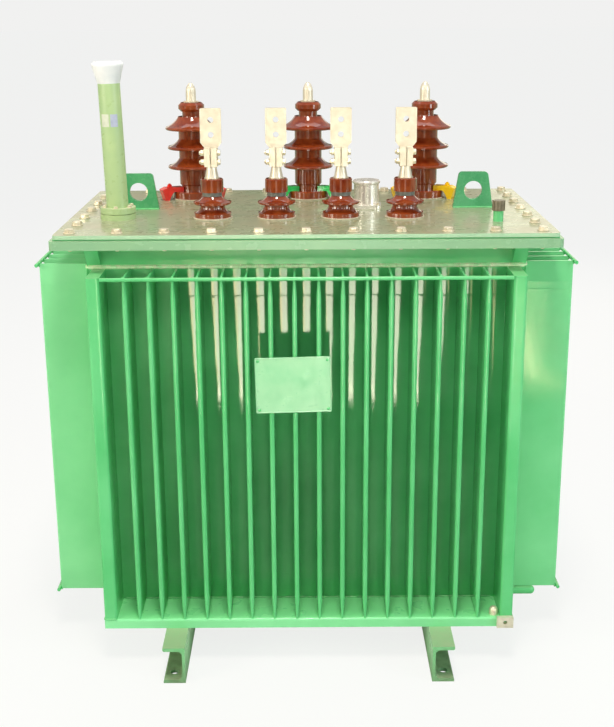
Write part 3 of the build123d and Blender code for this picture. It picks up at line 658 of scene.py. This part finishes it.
# %% Welds of the corner posts
POST_BEAD = 2.2
posts = bmesh.new()
for name in ("front_left", "front_right", "back_left", "back_right"):
    low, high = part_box("corner_post_" + name)
    outer_y = low.y if "front" in name else high.y
    root_y = high.y if "front" in name else low.y
    outer_x = low.x if "left" in name else high.x
    bead(posts, (low.x, outer_y, fin_foot), (high.x, outer_y, fin_foot), POST_BEAD)
    bead(posts, (outer_x, root_y, fin_foot), (outer_x, outer_y, fin_foot), POST_BEAD)
    bead(posts, (outer_x, root_y, fin_foot), (outer_x, root_y, fin_top), POST_BEAD)
piece("post_welds", posts, "enamel")

# %% [markdown]
# Welds also hold the lifting lugs to the cover, the drain stub to the tank and the channels to the tank's
# floor. These are seen close up from above, so the lugs get a bead on both faces. The drain's weld runs
# round the pipe, so it is a turned ring instead of a sweep.

# %% Welds on lugs, drain and channels
LUG_BEAD = 3.0
CHANNEL_BEAD = 2.5
DRAIN_WELD = [(10.0, 0.0), (13.0, 0.5), (12.4, 2.0), (10.2, 4.0)]
skirt_low, skirt_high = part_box("bottom_frame")
fixings = bmesh.new()
for name in ("left", "right"):
    low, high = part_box("lifting_lug_" + name)
    for y in (low.y, high.y):
        bead(fixings, (low.x, y, cover_top), (high.x, y, cover_top), LUG_BEAD)
    low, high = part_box("base_channel_" + name)
    for x in (low.x, high.x):
        bead(fixings, (x, skirt_low.y, high.z), (x, skirt_high.y, high.z), CHANNEL_BEAD)
low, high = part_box("drain_pipe")
drain = at(low.x, (low.y + high.y) / 2, (low.z + high.z) / 2, (0, 90, 0))
stack(fixings, DRAIN_WELD, drain, sides=24)
piece("fitting_welds", fixings, "enamel")

# %% [markdown]
# Each low-voltage bushing stands on a pale seal and has a grey cement joint in its groove. Its terminal is
# a split clamp: two ears that project to the front, drawn together by two bolts along the row. Heads sit
# on the right ear, nuts and bolt ends on the left.

# %% Seals and clamp bolts of the low-voltage bushings
LV_COUNT = 4
LV_SEAL = disc(43.5, 3.0)
LV_JOINT = disc(21.5, 9.0, start=49.0, ease=0.3)
LV_RING = disc(17.0, 2.2)
CLAMP_BOLT_REACH = 18.0
CLAMP_HALF = 14.0
CLAMP_LEVELS = (125.0, 145.0)
CLAMP_WASHER = disc(7.5, 1.5)
CLAMP_HEAD = hexagon(12.0, 5.5, start=1.5)
CLAMP_NUT = hexagon(12.0, 6.5, start=1.5)
CLAMP_END = disc(4.0, 3.0, start=8.0)
seals = bmesh.new()
joints = bmesh.new()
bolts = bmesh.new()
for index in range(1, LV_COUNT + 1):
    low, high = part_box("lv_porcelain_%d" % index)
    x, y = middle(low, high)
    stack(seals, LV_SEAL, at(x, y, cover_top), sides=64)
    stack(joints, LV_JOINT, at(x, y, cover_top), sides=48)
    stack(bolts, LV_RING, at(x, y, high.z), sides=32)
    front = y - CLAMP_BOLT_REACH * MM
    for level in CLAMP_LEVELS:
        right = at(x + CLAMP_HALF * MM, front, cover_top + level * MM, (0, 90, 0))
        left = at(x - CLAMP_HALF * MM, front, cover_top + level * MM, (0, -90, 0))
        stack(bolts, CLAMP_WASHER, right, sides=20)
        stack(bolts, CLAMP_HEAD, right)
        stack(bolts, CLAMP_WASHER, left, sides=20)
        stack(bolts, CLAMP_NUT, left)
        stack(bolts, CLAMP_END, left, sides=16)
piece("lv_seals", seals, "seal")
piece("lv_joints", joints, "cement")
piece("lv_clamp_bolts", bolts, "zinc", bevel=0.25)

# %% [markdown]
# Each high-voltage bushing is held down by two claws. A stud passes through each claw into the cover, with
# a small nut and a washer that were painted with the claw. The seal under the foot shows as a pale ring,
# and so does the one under the metal tip.

# %% Seals and claw studs of the high-voltage bushings
CLAW_TURN = 25.0
STUD_RADIUS = 62.0
CLAW_TOP = 31.0
HV_SEAL = disc(52.0, 3.0)
TIP_SEAL = disc(18.0, 3.0)
STUD_WASHER = disc(7.5, 1.5)
STUD_NUT = hexagon(10.0, 4.5, start=1.5)
STUD_END = disc(3.0, 2.5, start=6.0)
PHASES = (("a", "red", "clamp_red"), ("b", "lime", "clamp_green"), ("c", "yellow", "clamp_yellow"))
seals = bmesh.new()
for letter, finish, slot in PHASES:
    studs = bmesh.new()
    low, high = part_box("hv_terminal_" + letter)
    x, y = middle(low, high)
    stack(seals, HV_SEAL, at(x, y, cover_top), sides=64)
    stack(seals, TIP_SEAL, at(x, y, low.z), sides=40)
    for angle in (180 + CLAW_TURN, -CLAW_TURN):
        stud_x = x + STUD_RADIUS * MM * math.cos(math.radians(angle))
        stud_y = y + STUD_RADIUS * MM * math.sin(math.radians(angle))
        place = at(stud_x, stud_y, cover_top + CLAW_TOP * MM, (0, 0, angle))
        stack(studs, STUD_WASHER, place, sides=24)
        stack(studs, STUD_NUT, place)
        stack(studs, STUD_END, place, sides=16)
    piece("hv_claw_studs_" + letter, studs, finish, bevel=0.25)
piece("hv_seals", seals, "seal")

# %% [markdown]
# The filler tube ends in a flange with six bolts, the relief valve in one with four, and an earth bolt
# sits on the ledge beside its pad, under a round cap. Bolts on a circle are one loop, whatever their
# number, so a function takes the circle and the size of the bolt.

# %% Bolts of the small fittings
WASHER_SHARE = 0.62
WASHER_HEIGHT = 1.3
HEAD_SHARE = 0.45


def circle_of(mesh, centre, level, radius, count, flats, first):
    """Hex bolts with washers on a circle, in mm about a centre in metres, from a first angle in degrees."""
    washer = disc(flats * WASHER_SHARE, WASHER_HEIGHT)
    head = hexagon(flats, flats * HEAD_SHARE, start=WASHER_HEIGHT)
    for step in range(count):
        angle = math.radians(first) + TURN * step / count
        x = centre[0] + radius * MM * math.cos(angle)
        y = centre[1] + radius * MM * math.sin(angle)
        place = at(x, y, cover_top + level * MM, (0, 0, math.degrees(angle)))
        stack(mesh, washer, place, sides=20)
        stack(mesh, head, place)


TUBE_BOLTS = {"level": 26.0, "radius": 32.0, "count": 6, "flats": 8.0, "first": 30}
VALVE_BOLTS = {"level": 8.0, "radius": 37.0, "count": 4, "flats": 7.0, "first": 45}
EARTH_X = 413.0
EARTH_Y = -338.0
EARTH_CAP = [(10.0, 0.0), (10.0, 9.0), (9.0, 13.5), (6.5, 17.0), (3.0, 18.5)]
tube = middle(*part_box("oil_tube"))
valve = middle(*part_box("relief_valve"))
small = bmesh.new()
circle_of(small, tube, **TUBE_BOLTS)
circle_of(small, valve, **VALVE_BOLTS)
piece("fitting_bolts", small, "zinc", bevel=0.2)
earth = bmesh.new()
stack(earth, EARTH_CAP, at(EARTH_X * MM, EARTH_Y * MM, skirt_high.z), sides=28)
piece("earth_bolt", earth, "zinc", bevel=0.3)

# %% [markdown]
# The rating plate is riveted through its corners and has a rolled edge. It is left bare. The edge is four
# thin rods on the plate's face, which catch a highlight as folded sheet does, and cost next to nothing.

# %% Plate rivets and rolled edge
PLATE_TURN = 1.2
PLATE_HALF_WIDTH = 79.5
PLATE_HALF_HEIGHT = 60.5
RIVET_INSET = 7.0
EDGE_INSET = 1.4
EDGE_RADIUS = 1.1
RIVET = [(3.2, 0.0), (3.0, 0.8), (2.2, 1.5), (1.0, 1.9)]
plate_low, plate_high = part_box("rating_plate")
plate_middle = (plate_low + plate_high) / 2
plate_place = at(plate_middle.x, plate_low.y, plate_middle.z, (0, -PLATE_TURN, 0))
tall = PLATE_HALF_HEIGHT - EDGE_INSET
wide = PLATE_HALF_WIDTH - EDGE_INSET
rivets = bmesh.new()
edge = bmesh.new()
for side in (-1, 1):
    for end in (-1, 1):
        x = side * (PLATE_HALF_WIDTH - RIVET_INSET) * MM
        z = end * (PLATE_HALF_HEIGHT - RIVET_INSET) * MM
        stack(rivets, RIVET, plate_place @ at(x, 0, z, (90, 0, 0)), sides=16)
    upright = plate_place @ at(side * wide * MM, 0, -tall * MM)
    level = plate_place @ at(-wide * MM, 0, side * tall * MM, (0, 90, 0))
    stack(edge, [(EDGE_RADIUS, 0.0), (EDGE_RADIUS, 2 * tall)], upright, sides=8)
    stack(edge, [(EDGE_RADIUS, 0.0), (EDGE_RADIUS, 2 * wide)], level, sides=8)
piece("plate_rivets", rivets, "enamel")
piece("plate_edge", edge, "plate")

# %% [markdown]
# Two small labels are stuck side by side on the filler tube. Both are blank sheets that a maker would
# print. A picture could be laid on the pipe, but a strip of faces just outside it bends with the pipe and
# follows its slight lean. Each label spans a range of angles round the pipe, counted from its front.

# %% Bare labels on the tube
LABELS = (("tube_label", "label", -48.0, -4.0), ("tube_tag", "tag", 4.0, 42.0))
TUBE_LEAN = 1.3
TUBE_RADIUS = 24.3
LABEL_LEVELS = (202.0, 229.0)
LABEL_STEPS = 8
TO_FRONT = 90
for name, finish, first, last in LABELS:
    label = bmesh.new()
    columns = []
    for step in range(LABEL_STEPS + 1):
        angle = math.radians(first + (last - first) * step / LABEL_STEPS - TO_FRONT)
        column = []
        for level in LABEL_LEVELS:
            shift = level * math.tan(math.radians(TUBE_LEAN))
            x = tube[0] + (TUBE_RADIUS * math.cos(angle) - shift) * MM
            y = tube[1] + TUBE_RADIUS * MM * math.sin(angle)
            column.append(label.verts.new((x, y, cover_top + level * MM)))
        columns.append(column)
    for one, two in zip(columns, columns[1:]):
        label.faces.new((one[0], two[0], two[1], one[1]))
    piece(name, label, finish)

# %% [markdown]
# The floor is a pale studio sheet, wide enough to reach past the picture on all sides. Seen by the camera
# it is mostly lifted to white, so the shadow under the tank stays soft and faint.

# %% The studio floor
FLOOR_HALF = 70.0
FLOOR_LIFT = 0.84
CLOUD_SIZE = 600.0
CLOUD_DETAIL = 3.0
floor_mesh = bmesh.new()
bmesh.ops.create_grid(floor_mesh, x_segments=2, y_segments=2, size=FLOOR_HALF)
floor_data = bpy.data.meshes.new("studio_floor")
floor_mesh.to_mesh(floor_data)
floor_mesh.free()
floor = bpy.data.objects.new("studio_floor", floor_data)
bpy.context.scene.collection.objects.link(floor)
sheet = bpy.data.materials.new("Pale studio floor")
floor_data.materials.append(sheet)
floor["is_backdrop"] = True
tree = blank(sheet)
place = add(tree, "ShaderNodeTexCoord", out="Object")
path = add(tree, "ShaderNodeLightPath", out=None).outputs
cloud = noise(tree, place, CLOUD_SIZE, CLOUD_DETAIL)
pale = blend(tree, cloud, linear("#e9e9e6"), linear("#efefec"))
matte = add(tree, "ShaderNodeBsdfDiffuse", {"Color": pale})
bright = add(tree, "ShaderNodeEmission", {"Color": linear("#fcfcfb"), "Strength": 1.0})
lift = calc(tree, "MULTIPLY", path["Is Camera Ray"], FLOOR_LIFT)
studio = add(tree, "ShaderNodeMixShader", {"Fac": lift, "Shader": matte, "Shader_001": bright})
print("floor of", 2 * FLOOR_HALF, "m")

# %% [markdown]
# The valleys between the fins are seen from above, so they mirror the floor in front of the tank. A bare
# studio would leave them empty. Gloss therefore sees a workshop floor instead: dark close in front, hazy
# at the tank's foot, to both sides and farther out. Each range gives two places in metres, and the share
# of haze at each of them, or else a rise from 0 to 1.

# %% A workshop floor for gloss
RUN_START = -2.05
RUN_END = -4.6
SOFT_EDGE = 0.03
SWAY_SCALE = 2.2
SWAY_DETAIL = 3.0
SWAY = 0.12
LEFT_TO_RIGHT = (-0.8, 0.6, 0.1, 0.6)
FADE_OUT = (-4.0, RUN_END, 1.0, 0.1)
AT_FOOT = (-1.75, -1.3, 0.0, 0.8)
IN_MIDDLE = (1.2, 0.2)
AT_SIDES = (0.98, 1.12, 0.0, 0.8)
spot = split(tree, place)
sway = add(tree, "ShaderNodeTexNoise", {"Vector": place, "Scale": SWAY_SCALE, "Detail": SWAY_DETAIL})
swayed = calc(tree, "ADD", spot["X"], span(tree, sway, 0.0, 1.0, -SWAY, SWAY))
beyond = span(tree, spot["Y"], RUN_START, RUN_START - SOFT_EDGE)
faded = span(tree, spot["Y"], *FADE_OUT)
centre = calc(tree, "ABSOLUTE", spot["X"])
haze = calc(tree, "MULTIPLY", span(tree, spot["X"], *LEFT_TO_RIGHT), beyond)
foot = calc(tree, "MULTIPLY", span(tree, spot["Y"], *AT_FOOT), span(tree, centre, *IN_MIDDLE))
for share in (foot, span(tree, centre, *AT_SIDES)):
    haze = calc(tree, "MAXIMUM", haze, share)
haze = calc(tree, "MULTIPLY", haze, faded)
shown = blend(tree, haze, linear("#2f3a2c"), linear("#d3e2c4"))
print("the haze fades out", -RUN_END, "m in front of the tank's middle")

# %% [markdown]
# Bright runs of daylight lie on that floor. They draw the upright streaks in the valleys, and the humps of
# the sheet repeat each run in bay after bay. Most sway a little and widen away from the tank. Two narrow
# ones lean outward and stay straight, for the side fins. A short broad one ends sharply and draws the
# glints at the top. Only the first bounce sees the runs, so they don't light up the bays a second time.
# A row gives the middle at the near end and the widths at both ends in metres, the lean, whether the run
# sways, its far end, its colour and its power.

# %% Runs of daylight
GLINT_END = -2.18
FIRST_BOUNCE = 1.5
RUNS = (
    (0.0, 0.24, 1.4, 0.0, True, RUN_END, "#efe6d2", 18.0),
    (-0.10, 0.06, 0.46, 0.2, True, RUN_END, "#fbe4b6", 19.0),
    (0.92, 0.10, 0.24, 0.0, True, RUN_END, "#dcc096", 12.0),
    (-0.885, 0.03, 0.03, 0.2, False, RUN_END, "#f6e8b8", 38.0),
    (0.85, 0.03, 0.03, -0.187, False, RUN_END, "#f6e8b8", 60.0),
    (0.0, 0.56, 0.30, 0.0, True, GLINT_END, "#fff2d8", 32.0),
)
first = calc(tree, "LESS_THAN", path["Ray Depth"], FIRST_BOUNCE)
for start_x, near_width, far_width, lean, sways, far_end, tint, power in RUNS:
    line = calc(tree, "MULTIPLY_ADD", spot["Y"], lean, start_x - RUN_START * lean)
    away = calc(tree, "ABSOLUTE", calc(tree, "SUBTRACT", swayed if sways else spot["X"], line))
    half = span(tree, spot["Y"], RUN_START, far_end, near_width / 2, far_width / 2)
    inside = span(tree, calc(tree, "SUBTRACT", half, away), 0.0, SOFT_EDGE)
    if far_end > RUN_END:
        ended = calc(tree, "GREATER_THAN", spot["Y"], far_end)
        inside = calc(tree, "MULTIPLY", inside, ended)
    for share in (beyond, faded, first):
        inside = calc(tree, "MULTIPLY", inside, share)
    lit = [power * value for value in linear(tint)[:3]]
    shown = blend(tree, inside, shown, (*lit, 1.0))
runs = add(tree, "ShaderNodeEmission", {"Color": shown, "Strength": 1.0})
mixed = add(tree, "ShaderNodeMixShader", {"Fac": path["Is Glossy Ray"], "Shader": studio,
            "Shader_001": runs})
add(tree, "ShaderNodeOutputMaterial", {"Surface": mixed}, out=None)
print("runs on the workshop floor:", len(RUNS))

# %% [markdown]
# The world is a soft studio: warm low down and cool above. A dark brown far end behind the tank deepens
# the middle of the cover. The camera sees plain near-white, so that the object stands free of its
# background. A range here is a part of the view's direction, from -1 to 1, and not a place.

# %% World
SKY_HEIGHTS = (-0.1, 0.7)
FAR_END = (0.970, 0.984)
WORLD_STRENGTH = 0.55
world = bpy.data.worlds.new("Soft studio")
bpy.context.scene.world = world
tree = blank(world)
toward = split(tree, add(tree, "ShaderNodeTexCoord", out="Generated"))
height = span(tree, toward["Z"], *SKY_HEIGHTS)
sky = blend(tree, height, linear("#f1e6cd"), linear("#dfe8ee"))
sky = blend(tree, span(tree, toward["Y"], *FAR_END), sky, linear("#5a4c3a"))
soft = add(tree, "ShaderNodeBackground", {"Color": sky, "Strength": WORLD_STRENGTH})
white = add(tree, "ShaderNodeBackground", {"Color": linear("#f1f1f0"), "Strength": 1.0})
seen = add(tree, "ShaderNodeLightPath", out="Is Camera Ray")
mixed = add(tree, "ShaderNodeMixShader", {"Fac": seen, "Shader": soft, "Shader_001": white})
add(tree, "ShaderNodeOutputWorld", {"Surface": mixed}, out=None)
print("world:", world.name, "at", WORLD_STRENGTH)

# %% [markdown]
# The main soft box hangs high in front, in line with the fins, so that it reaches the ledge between them
# and leaves their flanks deep green. Two weaker boxes at the sides lift the posts and the fins' noses. One
# above and one behind light the cover. Two broad boxes that only gloss sees leave a glare on both ends of
# the cover. A row gives the name, the place, the height it is aimed at, its size in metres, its power in
# watts, its colour, and whether diffuse light and gloss see it.

# %% Soft boxes
def soft_box(name, place, aim, size, power, colour, diffuse=True, gloss=True):
    """An area light in metres and watts, aimed at a height on the middle axis."""
    lamp = bpy.data.lights.new(name, "AREA")
    lamp.shape = "RECTANGLE"
    lamp.size, lamp.size_y = size
    lamp.energy = power
    lamp.color = linear(colour)[:3]
    made = bpy.data.objects.new(name, lamp)
    bpy.context.scene.collection.objects.link(made)
    made.location = place
    made.rotation_euler = (Vector((0, 0, aim)) - Vector(place)).to_track_quat("-Z", "Y").to_euler()
    made.visible_camera = False
    made.visible_diffuse = diffuse
    made.visible_glossy = gloss


BOXES = (
    ("key", (0, -1.5, 4.6), 0.6, (0.7, 1.2), 118.0, "#fff8ee", True, True),
    ("left", (-3.2, -2.1, 1.7), 0.6, (1.2, 1.6), 66.0, "#fff3df", True, True),
    ("right", (3.2, -2.1, 1.6), 0.6, (1.2, 1.6), 44.0, "#eefcff", True, True),
    ("top", (0, 1.2, 3.8), 0.9, (2.4, 1.6), 16.0, "#ffffff", True, True),
    ("rear", (1.5, 3.4, 2.4), 0.8, (2.6, 1.6), 40.0, "#fff3e0", True, False),
    ("glare_-1", (-1.5, 3.4, 1.6), 0.9, (1.2, 0.9), 3.0, "#fff6e0", False, True),
    ("glare_1", (1.5, 3.4, 1.6), 0.9, (1.2, 0.9), 4.6, "#fff6e0", False, True),
)
for row in BOXES:
    soft_box(*row)
print("soft boxes:", len(BOXES))

# %% [markdown]
# Narrow strips stand round the front and are seen by gloss alone: they draw the many thin upright
# highlights on porcelain, tube and valve. Each is given by its angle round the tank from straight ahead.

# %% Strips for highlights
STRIP_ANGLES = (-80, -52, -27, 12, 33, 58, 84)
STRIP_DISTANCE = 3.4
STRIP_HEIGHT = 2.1
STRIP_AIM = 1.1
STRIP_SIZE = (0.16, 1.5)
STRIP_POWER = 9.0
for number, azimuth in enumerate(STRIP_ANGLES):
    angle = math.radians(azimuth - TO_FRONT)
    place = (STRIP_DISTANCE * math.cos(angle), STRIP_DISTANCE * math.sin(angle), STRIP_HEIGHT)
    soft_box("strip_%d" % number, place, STRIP_AIM, STRIP_SIZE, STRIP_POWER, "#fffaf0", diffuse=False)

# %% [markdown]
# The camera was solved from the fin pitch and from where the long edges meet. It stands about 2.4 m in
# front of the fins at chest height, and looks down by 16.5 degrees.

# %% Camera
CAMERA_PLACE = (0.0, -2.783, 1.416)
CAMERA_PITCH = 16.5
CAMERA_ROLL = -0.35
FOCAL_PIXELS = 1215.0
PICTURE_HEIGHT = 727.0
SENSOR = 36.0
optics = bpy.data.cameras.new("camera")
optics.sensor_width = SENSOR
optics.lens = FOCAL_PIXELS / PICTURE_HEIGHT * SENSOR
camera = bpy.data.objects.new("camera", optics)
bpy.context.scene.collection.objects.link(camera)
camera.location = CAMERA_PLACE
looking = Matrix.Rotation(math.radians(90 - CAMERA_PITCH), 3, "X")
camera.rotation_euler = (looking @ Matrix.Rotation(math.radians(CAMERA_ROLL), 3, "Z")).to_euler()
bpy.context.scene.camera = camera
bpy.context.scene.view_settings.view_transform = "Standard"
print("lens:", round(optics.lens, 2), "mm")

# %% [markdown]
# The last cell measures how much the dressed object has grown past the size of the CAD model. The last
# cell measures the dressed object, which must stay inside the CAD box.

# %% Measure and finish
end_low, end_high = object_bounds()
growth = (end_high - start_high) - (end_low - start_low)
print("grown by, in mm:", [round(value / MM, 2) for value in growth])
